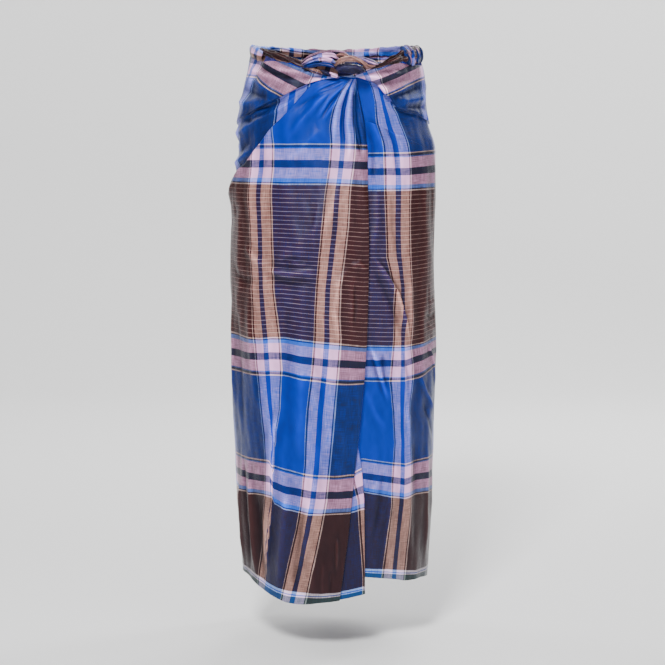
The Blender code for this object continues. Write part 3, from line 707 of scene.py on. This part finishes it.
def outer_cloth():
    """One cloth from under the front folds, round the back, to the folded edge and back under itself."""
    columns = ((-6, 13, 8), (13, 50, 54), (50, RIGHT_END, 36), (RIGHT_END, LEFT_START, 68),
               (LEFT_START, FRONT_FROM, 18))
    fixed = np.concatenate([np.linspace(start, end, count, endpoint=False) for start, end, count in columns])
    # The front columns are closest near the folded edge, where the folds from the knot are finest.
    front = 1 - (1 - np.linspace(0, 1, 116)) ** 1.55

    def row(line):
        """The angles and heights of a row of points on this line, which ends at the folded edge."""
        edge = FRONT_TO
        for _ in range(4):
            deg = np.concatenate((fixed, FRONT_FROM + front * (edge - FRONT_FROM)))
            z = line(deg)
            edge = 360 + degrees_of(straight(OVER_EDGE, z[-1]), z[-1])
        return deg, z

    top, crease, hem = (line_of(table) for table in (TOP, CREASE, HEM))
    rows = []  # angles, heights, distance from the figure in layers, and which stretch: waist, hip or skirt
    for share in np.linspace(0, 1, 21):
        deg, z = row(between(top, crease, share))
        rows.append((deg, z, straight(LEVEL_BAND, deg), WAIST))
    deg, z = row(crease)
    waist_level = straight(LEVEL_BAND, deg)
    lip = np.maximum(waist_level - straight(LEVEL_HIP, deg), 0)
    rows.append((deg, z - 0.7 * MM * np.minimum(lip, 1), waist_level - 0.35 * lip, WAIST))
    rows.append((deg, z - 0.3 * MM * np.minimum(lip, 1), waist_level - 0.80 * lip, HIP))
    for share in np.linspace(0, 1, 30)[1:]:
        deg, z = row(between(crease, hip_edge, share))
        rows.append((deg, z, straight(LEVEL_HIP, deg), HIP))
    skirt_level = straight(LEVEL_SKIRT, deg)
    step = np.maximum(skirt_level - straight(LEVEL_HIP, deg), 0)
    rows.append((deg, z + 0.7 * MM * np.minimum(step, 1), skirt_level - 0.75 * step, SKIRT))
    rows.append((deg, z + 1.2 * MM * np.minimum(step, 1), skirt_level - 0.30 * step, SKIRT))
    for share in np.linspace(0, 1, 258)[1:] ** 1.35:
        deg, z = row(between(hip_edge, hem, share))
        rows.append((deg, z, straight(LEVEL_SKIRT, deg), SKIRT))

    deg = np.stack([r[0] for r in rows])
    z = np.stack([r[1] for r in rows])
    level = np.stack([r[2] for r in rows]) * LAYER
    region = np.array([r[3] for r in rows])[:, None]
    lift = np.choose(region, [fold_height(folds, deg, z) for folds in (FOLDS_BAND, FOLDS_HIP, FOLDS_SKIRT)])
    lift *= smooth((top(deg) - z) / (10 * MM))  # The folds die out under the waist roll.
    for seed, across, along, depth in ((3.1, 34, 140, 3.0), (7.7, 13, 34, 0.9), (11.3, 5, 10, 0.22)):
        lift += grain(deg, z, seed, across, along, depth)
    # Near the knot the front edge rolls over and inward.
    from_edge = (deg[:, -1:] - deg) * MM_PER_DEG
    rolls_in = smooth((z + 0.055) / -0.030) * (1 - 0.7 * smooth((z + 0.190) / -0.120))
    rolls_in *= smooth((z + 0.620) / 0.25)
    curl = CURL_DEPTH * rolls_in * np.clip(1 - from_edge / CURL_WIDTH, 0, 1) ** 2
    lift -= np.where(region == SKIRT, curl, 0)
    points = place(deg, z, level + lift)

    # Painted shade in the hollows of the folds and painted highlight on their ridges.
    painted_fold_shading = painted_shading_of_relief(lift, 5, 1.6 * MM)
    # The folded front edge turns back under itself.
    edge_deg = deg[:, -1]
    edge_z = z[:, -1]
    edge_level = level[:, -1]
    edge_lift = lift[:, -1]
    lip_points = []
    lip_deg = []
    for turn in np.radians((30, 60, 90, 120, 150)):
        over = np.degrees(TURN_RADIUS * math.sin(turn) / FRONT_RADIUS)
        down = TURN_RADIUS * (1 - math.cos(turn))
        lip_points.append(place(edge_deg + over, edge_z, edge_level + edge_lift - down))
        lip_deg.append(edge_deg + over)
    for share in np.linspace(0, 1, 9)[1:]:
        back = TURNED_BACK * share
        lip_points.append(place(edge_deg - back, edge_z, edge_level + edge_lift * (1 - share) - LAYER))
        lip_deg.append(edge_deg + back)
    points = np.concatenate((points, np.stack(lip_points, 1)), axis=1)
    painted_fold_shading = np.concatenate((painted_fold_shading, np.zeros((len(rows), len(lip_points)))), axis=1)
    pattern_deg = np.concatenate((deg, np.stack(lip_deg, 1)), axis=1)
    pattern_z = np.concatenate((z, np.repeat(z[:, -1:], len(lip_deg), 1)), axis=1)

    faces = grid_faces(*pattern_deg.shape)
    face_region = np.repeat(region[1:, 0], pattern_deg.shape[1] - 1)[:, None, None]
    maps = (band_of(pattern_deg, pattern_z), hip_of(pattern_deg, pattern_z),
            (warp_of(pattern_deg, pattern_z), weft_of(pattern_deg, pattern_z)))
    corner_uv = np.choose(face_region, [np.stack(pair, -1).reshape(-1, 2)[faces] for pair in maps]) * MM
    return make_sheet("outer_cloth", points, faces, corner_uv, painted_fold_shading)


def inner_pleat():
    """The fold that shows between the front edge and the cloth right of it, low down."""
    run_in = -np.linspace(20, 0, 26)
    points = []
    degs = []
    heights = []
    for share in np.linspace(0, 1, 260):
        z_edge = INNER_TOP + (straight(HEM, 372.0) - INNER_TOP) * share
        edge = degrees_of(straight(INNER_EDGE, z_edge), z_edge)
        run = edge + np.concatenate((run_in, (0.35, 0.55, 0.35), -np.linspace(0, 14, 9)))
        level = np.concatenate((np.full(26, 2.5), (2.36, 2.0, 1.64), np.full(9, 1.5)))
        z = INNER_TOP + (straight(HEM, run + 360) - INNER_TOP) * share
        points.append(place(run, z, level * LAYER))
        degs.append(edge + np.concatenate((run_in, (0.4, 0.8, 1.2), 1.6 + np.linspace(0, 14, 9))))
        heights.append(z)
    points = np.stack(points)
    deg = np.stack(degs)
    z = np.stack(heights)
    start = straight(INNER_STRIPE, z[:, :1] * 1000)
    s = PLAIN + (deg - start) * MM_PER_DEG
    t = weft_of(deg + 360, z)
    # Toward its right side the crosswise lines rise a little.
    tilt = np.interp(z * 1000, (-860, -700), (0, 9)) * smooth((deg - 6) / 9)
    faces = grid_faces(*deg.shape)
    uv = np.stack((s, t - tilt), -1).reshape(-1, 2)[faces] * MM
    return make_sheet("inner_fold", points, faces, uv, np.zeros(deg.shape))


OUTER_NODES = (
    "back_panel", "over_panel", "under_panel", "hip_wrap_left", "waist_band_left", "waist_band_right")
declare(outer_cloth(), OUTER_NODES)
declare(inner_pleat(), ("inner_pleat",))


# ---- the rolled waist and the knot
DEEP_TO_WIDE = 0.62  # of the figure's waist


def strand(rows, around, along, grooves, twist, pattern, seed, crumple=0.25, close=0.12, tip=0.35):
    """A tube of gathered cloth along rows of x, y, z, half height and half depth.

    The grooves between its gathers are rows of an angle round it, a depth and a sharpness. It returns the
    points, the faces, the pattern and the painted fold shading: painted shade in the grooves, painted
    highlight on the gathers.
    """
    rows = np.array(rows, float)
    keys = np.linspace(0, 1, len(rows))
    share = np.linspace(0, 1, along)
    path = np.stack([curved(np.stack((keys, rows[:, k]), 1), share) for k in range(5)], 1)
    middle = path[:, :3]
    ahead = np.gradient(middle, axis=0)
    ahead /= np.linalg.norm(ahead, axis=1)[:, None]
    outward = np.stack((middle[:, 0] * DEEP_TO_WIDE, middle[:, 1], 0 * middle[:, 0]), 1)
    outward -= ahead * (outward * ahead).sum(1)[:, None]
    outward /= np.linalg.norm(outward, axis=1)[:, None]
    upward = np.cross(outward, ahead)
    upward *= np.sign(upward[:, 2:3] + 1e-9)
    length = np.concatenate(([0], np.cumsum(np.linalg.norm(np.diff(middle, axis=0), axis=1))))
    turn = np.linspace(0, 2 * math.pi, around)
    along_mm = length[:, None] * 1000 + 0 * turn
    angle = turn + 0 * along_mm
    wound = angle + twist * along_mm
    size = np.ones_like(wound)
    for at, depth, sharp in grooves:
        waver = 0.5 * np.sin(along_mm / 11 + at * 3 + seed)
        size -= depth * np.abs(np.sin((wound - at + waver) / 2)) ** (sharp * 4)
    around_x = np.cos(angle)
    around_y = np.sin(angle)
    rough = []
    for x, y, m in zip(around_x.ravel(), around_y.ravel(), along_mm.ravel()):
        coarse = noise.noise((x * 1.7 + seed, y * 1.7, m / 9))
        fine = noise.noise((x * 4 + seed, y * 4, m / 3.5))
        rough.append(coarse * 0.6 + fine * 0.25)
    size += crumple * np.array(rough).reshape(size.shape)
    ends = smooth(share / close) ** 0.5 * smooth((1 - share) / close) ** 0.5
    size *= tip + (1 - tip) * ends[:, None]
    points = (middle[:, None] + outward[:, None] * (path[:, 4, None] * size * around_x)[..., None]
              + upward[:, None] * (path[:, 3, None] * size * around_y)[..., None])
    s, t = pattern(along_mm, wound * float(path[:, 3].mean()) * 1000)
    faces = grid_faces(along, around)
    corner_uv = np.stack((s, t), -1).reshape(-1, 2)[faces] * MM
    # Painted shade where the gathers sink in and painted highlight where they swell out.
    painted_fold_shading = np.clip((size - 0.9) / 0.25, -1, 0.6)
    return points.reshape(-1, 3), faces, corner_uv, painted_fold_shading.ravel()


def bundle(name, strands):
    """Several strands of one cloth as a single mesh."""
    points, faces, corner_uv, painted_fold_shading = zip(*strands)
    starts = np.cumsum([0] + [len(part) for part in points[:-1]])
    faces = [part + start for part, start in zip(faces, starts)]
    return make_sheet(name, *(np.concatenate(parts) for parts in (points, faces, corner_uv, painted_fold_shading)))


def on_figure(rows):
    """Rows of degrees, z, half height and half depth in mm, and level become points and metres."""
    return [(*place(np.array(float(deg)), np.array(z * MM), np.array(level * LAYER)), high * MM, deep * MM)
            for deg, z, high, deep, level in rows]


def lengthwise(s0, t0, squeeze=1.0, stretch=1.0):
    """The pattern where the cloth's width is rolled up: its length runs along the strand."""
    return lambda along, wound: (s0 + along * stretch, t0 + wound * squeeze)


def crosswise(s0, t0, squeeze=1.0, stretch=1.0):
    """The pattern where the cloth's length is rolled up."""
    return lambda along, wound: (s0 + wound * squeeze, t0 + along * stretch)


def path_length(rows):
    """The way along a strand's points, in metres."""
    return float(np.linalg.norm(np.diff(np.array(rows)[:, :3], axis=0), axis=1).sum())


FEW = ((0.6, 0.20, 3), (2.4, 0.16, 2), (4.3, 0.20, 3))
MANY = ((0.2, 0.30, 4), (1.2, 0.34, 5), (2.3, 0.30, 4), (3.4, 0.34, 5), (4.4, 0.30, 4), (5.4, 0.32, 5))

ROLL_LEFT = on_figure((
    (239.5, -4.4, 8.4, 6, 0.5), (256, -5, 9, 6.2, 1.2), (270, -6.5, 9.5, 6.2, 2.2),
    (282, -11, 11, 6.2, 2.6), (294, -16, 11.5, 6, 2.9), (305, -21.5, 10, 5, 3.4)))
STRAND_LEFT = on_figure((
    (300, -8, 5, 5, 4), (311, -16, 7.8, 6.2, 4.5), (321, -22.5, 8.2, 6.2, 5),
    (330, -29, 7, 5.6, 5.3), (339, -37.5, 6, 5.2, 5.4), (348, -46, 4.2, 4, 5.6)))
STRAND_RIGHT = on_figure((
    (19, -43, 4, 4, 5.6), (29, -36.5, 5.5, 5, 5), (37, -30, 8.5, 6.2, 4.4),
    (45, -24.5, 11.8, 7.2, 3.8), (55, -20, 13, 7.6, 3.1)))
BUNCH = on_figure((
    (50, -20, 12.5, 7, 3.2), (60, -19, 15.5, 8, 2.5), (70, -18, 16, 7.8, 2),
    (84, -14, 14.5, 7.2, 1.6), (98, -8, 10.5, 6.4, 1), (111.2, -4.5, 8.8, 6.2, 0.5)))
ROLL_BACK = on_figure((
    (107.5, -4.6, 8.8, 6.2, 0.6), (132, -3, 9.2, 6.6, 0.5), (150, -4, 8.8, 6.4, 0.5),
    (165, -5.2, 9.2, 6.6, 0.5), (180, -5.5, 8.8, 6.4, 0.5), (195, -4.8, 9.2, 6.8, 0.5),
    (210, -4, 8.8, 6.4, 0.5), (228, -3, 9.2, 6.6, 0.5), (247.5, -4.7, 8.8, 6.2, 0.6)))


def waist_piece(node, rows, grooves, twist, pattern, seed, **more):
    """A roll or strand of the waist, declared for its part of the frame."""
    along = 40 + int(path_length(rows) * 900)
    made = bundle(node + "_cloth", [strand(rows, 84, along, grooves, twist, pattern, seed, **more)])
    declare(made, (node,))


waist_piece("waist_roll_left", ROLL_LEFT, FEW, 0.010, lengthwise(0, 978, 0.45), 1.0, tip=0.85)
waist_piece("waist_strand_left", STRAND_LEFT, MANY, 0.020, lengthwise(150, 470, 0.9, 0.8), 2.0)
waist_piece("waist_strand_right", STRAND_RIGHT, MANY, -0.010, lengthwise(150, 475, 0.9, 0.9), 3.0)
waist_piece("waist_roll_back", ROLL_BACK, MANY[::2], 0.008, lengthwise(290, 960, 0.8), 5.0, tip=0.85)

# The bunch is gathered on top of itself in short folds that lean outward as they go down.
short_folds = [strand(BUNCH, 84, 110, FEW, 0.012, lengthwise(165, 520, 0.8), 4.0, tip=0.85)]
SHORT_FOLDS = (
    # degrees, size, lean in degrees, s and t of the pattern
    (52.5, 1, 5.5, 165, 741), (57, 1.12, 6.5, 96, 733), (61.8, 0.92, 5, 20, 741),
    (66.5, 1.1, 7, 165, 724), (71.5, 0.85, 5.5, 96, 741), (77.5, 1.15, 8, 165, 735),
    (84.5, 0.8, 6, 20, 560), (91.5, 0.9, 9, 165, 520), (101, 0.62, 6, 96, 705))
for k, (deg, size, lean, s0, t0) in enumerate(SHORT_FOLDS):
    drop = size * (1 - (deg - 52) * 0.010)
    middle = -19.5 + (deg - 52) * 0.21
    level = float(np.interp(deg, (50, 60, 84, 111), (3.2, 2.6, 1.7, 0.7))) + 0.9 * size
    rows = on_figure((
        (deg - lean * 0.45, middle + 14.8 * drop, 5.0, 3.0, level - 1.6),
        (deg - lean * 0.15, middle + 7.0 * drop, 7.4 * size, 4.4 * size, level),
        (deg + lean * 0.20, middle - 5.0 * drop, 8.0 * size, 4.6 * size, level),
        (deg + lean * 0.60, middle - 16.0 * drop, 5.2 * size, 3.2, level - 1.9)))
    pattern = lengthwise(s0, t0, 1.2, 0.9)
    short_folds.append(strand(rows, 40, 34, MANY[k % 2::2], 0.06, pattern, 30 + k, crumple=0.42))
bunch = bundle("waist_bunch_right_cloth", short_folds)
declare(bunch, ("waist_bunch_right",))


KNOT = (
    # CAD node, flat size in metres, then its folds: rows of x, y, z, half height and half depth in mm, the
    # twist and the pattern
    ("knot_roll", (0.105, 0.070), (
        (((-56, -121.5, -36, 2.2, 3), (-42, -123, -27.5, 3.2, 5), (-25, -122.5, -20.5, 4, 7),
         (-6, -121.5, -18, 4.2, 7.5), (12, -120, -19.5, 3.8, 7), (23, -117, -25, 2.8, 4.5)),
         0.02, lengthwise(165, 724, 0.9, 0.7)),
        (((-54, -123.5, -38, 2, 2.8), (-40, -126.5, -31, 3.6, 4.5), (-23, -128, -25, 4.6, 5.8),
         (-6, -127.5, -24, 4.4, 5.8), (7, -124, -30, 2.8, 4)), 0.03, lengthwise(96, 168, 1.3, 0.6)),
        (((-52, -124, -40, 2, 2.8), (-38, -128.5, -35, 3.6, 4.5), (-22, -131, -31, 4.8, 5.6),
         (-7, -130.5, -32.5, 4.2, 5.2), (3, -127, -38.5, 2.6, 3.6)), 0.03, lengthwise(60, 172, 1.1, 1.0)),
        (((-52, -122.5, -42.5, 2, 2.8), (-38, -127, -40, 3.2, 4.2), (-22, -129, -37.5, 3.8, 4.8),
         (-9, -129, -39, 3.6, 4.6), (1, -126, -43, 2.6, 3.6)), 0.02, lengthwise(20, 190, 0.5, 0.9)),
        (((-2, -124, -27, 2.6, 3.5), (9, -125, -22.5, 3.6, 5), (19, -122, -25, 3.4, 4.6),
         (26, -118, -30, 2.2, 3)), 0.04, lengthwise(96, 560, 1.2, 0.5)),
    )),
    ("knot_strand", (0.045, 0.068), (
        (((-1, -131, -40, 2.4, 2.8), (8, -136.5, -33.5, 4, 4.2), (24, -138, -29, 4.6, 4.6),
         (39, -135, -32.5, 4.4, 4.4), (50, -130, -40, 3.6, 3.6), (59, -124, -44, 2.4, 2.8)),
         0.05, lengthwise(95, 560, 0.9, 0.15)),
        (((25, -129, -27, 2.6, 3), (38, -130, -29, 4.2, 4.2), (55, -126, -33.5, 4.8, 4.5),
         (70, -116, -37.5, 3, 3.4)), 0.04, lengthwise(97, 735, 0.5, 0.12)),
        (((44, -127, -42, 2.2, 2.6), (54, -127, -41, 3.4, 3.4), (66, -120, -40, 2.4, 2.8)),
         0.05, lengthwise(98, 560, 0.8, 0.1)),
    )),
    ("knot_loop", (0.044, 0.050), (
        (((-1, -127, -44, 4, 4), (8, -133, -45, 7.8, 7), (24, -135.5, -45.5, 9.4, 8.5),
         (39, -134, -47, 8.4, 7.5), (49, -128, -50, 4.2, 4.2)), 0.012, lengthwise(30, 60, 0.9, 1.15)),
    )),
    ("knot_tuck_cream", (0.024, 0.024), (
        (((-43, -120, -45, 2.8, 3.2), (-32, -125.5, -49, 4.6, 4.4), (-20, -125, -54, 3.6, 3.6)),
         0.05, crosswise(94, 470, 0.6)),
    )),
    ("knot_tuck_indigo", (0.022, 0.021), (
        (((-24, -123, -48, 3.4, 3.6), (-14, -127, -52, 4.6, 4.4), (-6, -125.5, -56.5, 3.4, 3.4)),
         0.04, crosswise(20, 60, 0.5)),
    )),
    ("knot_tuck_pale", (0.019, 0.019), (
        (((-10, -124, -51, 3, 3.4), (-2, -127, -55.5, 3.8, 3.8), (7, -125.5, -59, 2.6, 3)),
         0.04, crosswise(94, 172, 0.6)),
    )),
)
for index, (node, flat, folds) in enumerate(KNOT):
    made = []
    for k, (rows, twist, pattern) in enumerate(folds):
        rows = MM * np.array(rows)
        along = 20 + int(path_length(rows) * 1100)
        seed = 50 + index * 7 + k
        made.append(strand(rows, 44, along, MANY[k % 2::2], twist, pattern, seed, crumple=0.30, close=0.2))
    declare(bundle(node + "_cloth", made), (node,))


# ---- floor, light and camera
FLOOR_Z = -1.010
CURVE_RADIUS = 1.5


def towards(aim, spot):
    """The turn of a lamp or camera at this spot that points it at its aim."""
    return (Vector(aim) - Vector(spot)).to_track_quat("-Z", "Y").to_euler()


def plain(name, colour, roughness):
    material = bpy.data.materials.new(name)
    n = Nodes(material)
    n.shader.inputs["Base Color"].default_value = (*colour, 1)
    n.shader.inputs["Roughness"].default_value = roughness
    return material


def studio():
    """A pale floor that curves up into a backdrop, with wide soft lights."""
    profile = [(-6.0, 0.0)]
    profile += [(3.0 + CURVE_RADIUS * math.sin(turn), CURVE_RADIUS * (1 - math.cos(turn)))
                for turn in np.radians(np.arange(0, 91, 6))]
    profile += [(4.5, 8.0)]
    vertices = [(x, y, FLOOR_Z + z) for y, z in profile for x in (-9.0, 9.0)]
    faces = [(2 * i, 2 * i + 1, 2 * i + 3, 2 * i + 2) for i in range(len(profile) - 1)]
    mesh = bpy.data.meshes.new("backdrop")
    mesh.from_pydata(vertices, [], faces)
    mesh.polygons.foreach_set("use_smooth", [True] * len(mesh.polygons))
    mesh.materials.append(plain("backdrop", (0.93, 0.93, 0.93), 0.8))
    add_object("backdrop", mesh)
    world = bpy.data.worlds.new("studio")
    world.use_nodes = True
    world.node_tree.nodes["Background"].inputs["Color"].default_value = (1.0, 1.0, 1.0, 1)
    world.node_tree.nodes["Background"].inputs["Strength"].default_value = 0.24
    bpy.context.scene.world = world
    front = (0, 0, -0.45)
    lights = (
        # name, place, aim, size, power
        ("key", (-0.60, -2.8, 1.8), front, 0.7, 180),
        ("fill", (2.0, -2.3, 0.3), front, 1.6, 24),
        ("rear", (0.9, 2.4, 1.4), front, 1.6, 45),
        ("wall_left", (-2.6, 1.6, 1.8), (0.6, 4.5, 0.0), 1.6, 60),
        ("wall_right", (2.6, 1.6, 1.8), (-0.6, 4.5, 0.0), 1.6, 110),
    )
    for name, spot, aim, size, power in lights:
        lamp = bpy.data.lights.new(name, "AREA")
        lamp.size = size
        lamp.energy = power
        obj = add_object(name, lamp)
        obj.location = spot
        obj.rotation_euler = towards(aim, spot)


def camera():
    """Straight in front, a little below the waist and looking slightly down, through a long lens."""
    data = bpy.data.cameras.new("camera")
    data.sensor_width = 36
    data.lens = 88.6
    data.shift_x = -0.0038
    data.clip_end = 100
    obj = add_object("camera", data)
    obj.location = (0, -2.8, -0.206)
    obj.rotation_euler = towards((0, 0, -0.486), obj.location)
    bpy.context.scene.camera = obj


studio()
camera()
